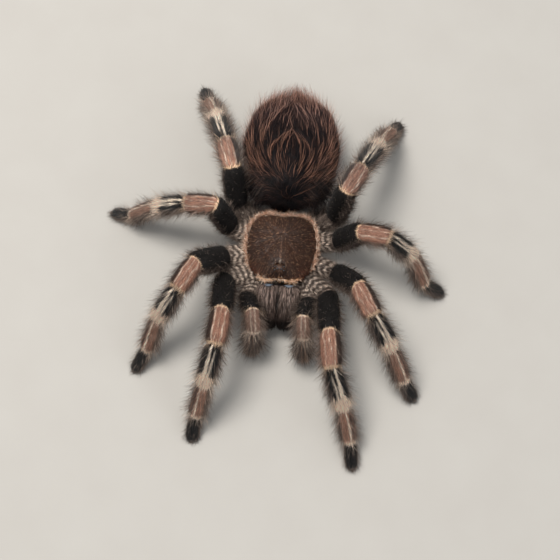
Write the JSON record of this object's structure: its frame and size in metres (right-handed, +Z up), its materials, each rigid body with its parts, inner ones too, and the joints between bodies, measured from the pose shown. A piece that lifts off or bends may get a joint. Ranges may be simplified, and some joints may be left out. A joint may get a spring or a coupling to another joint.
{
  "type": "tarantula",
  "caption": "Large ground tarantula standing at rest on its feet, life size: velvety body, striped hairy legs spread all round, long-haired abdomen, folded fangs.",
  "frame": {"origin": "middle of the footprint, on the floor that the feet stand on", "axes": "+Z up, the head points to -Y, and the animal's left side is +X"},
  "size_m": [0.1136, 0.1318, 0.0327],
  "materials": {
    "dark_coat": "short black velvet hair of the thighs and feet, with sparse long pale hairs",
    "striped_coat": "grey-brown hair with two cream stripes along each segment and a cream ring at each joint",
    "carapace": "dark brown shell under a thin velvet of short hair, with a tan fringe at its edge",
    "body_coat": "grey-brown hair of the jaws and underside, with pale streaks",
    "abdomen_coat": "dense black velvet under long curved reddish hairs",
    "horn": "smooth near-black horn of the fangs and claws",
    "eye_gloss": "wet-looking dark eyes on a low dark mound"
  },
  "bodies": {
    "root": {"right_leg_1_femur": "dark_coat", "right_leg_1_patella": "striped_coat", "right_leg_1_tibia": "striped_coat", "right_leg_1_metatarsus": "striped_coat", "right_leg_1_tarsus": "dark_coat", "right_leg_2_femur": "dark_coat", "right_leg_2_patella": "striped_coat", "right_leg_2_tibia": "striped_coat", "right_leg_2_metatarsus": "striped_coat", "right_leg_2_tarsus": "dark_coat", "right_leg_3_femur": "dark_coat", "right_leg_3_patella": "striped_coat", "right_leg_3_tibia": "striped_coat", "right_leg_3_metatarsus": "striped_coat", "right_leg_3_tarsus": "dark_coat", "right_leg_4_femur": "dark_coat", "right_leg_4_patella": "striped_coat", "right_leg_4_tibia": "striped_coat", "right_leg_4_metatarsus": "striped_coat", "right_leg_4_tarsus": "dark_coat", "right_palp_femur": "dark_coat", "right_palp_patella": "striped_coat", "right_palp_tibia": "striped_coat", "right_palp_tarsus": "striped_coat", "left_leg_1_femur": "dark_coat", "left_leg_1_patella": "striped_coat", "left_leg_1_tibia": "striped_coat", "left_leg_1_metatarsus": "striped_coat", "left_leg_1_tarsus": "dark_coat", "left_leg_2_femur": "dark_coat", "left_leg_2_patella": "striped_coat", "left_leg_2_tibia": "striped_coat", "left_leg_2_metatarsus": "striped_coat", "left_leg_2_tarsus": "dark_coat", "left_leg_3_femur": "dark_coat", "left_leg_3_patella": "striped_coat", "left_leg_3_tibia": "striped_coat", "left_leg_3_metatarsus": "striped_coat", "left_leg_3_tarsus": "dark_coat", "left_leg_4_femur": "dark_coat", "left_leg_4_patella": "striped_coat", "left_leg_4_tibia": "striped_coat", "left_leg_4_metatarsus": "striped_coat", "left_leg_4_tarsus": "dark_coat", "left_palp_femur": "dark_coat", "left_palp_patella": "striped_coat", "left_palp_tibia": "striped_coat", "left_palp_tarsus": "striped_coat", "cephalothorax_underside": "body_coat", "carapace": "carapace", "eye_tubercle": "eye_gloss", "abdomen": "abdomen_coat", "right_chelicera": "body_coat", "right_fang": "horn", "right_spinneret": "abdomen_coat", "left_chelicera": "body_coat", "left_fang": "horn", "left_spinneret": "abdomen_coat"}
  },
  "joints": []
}
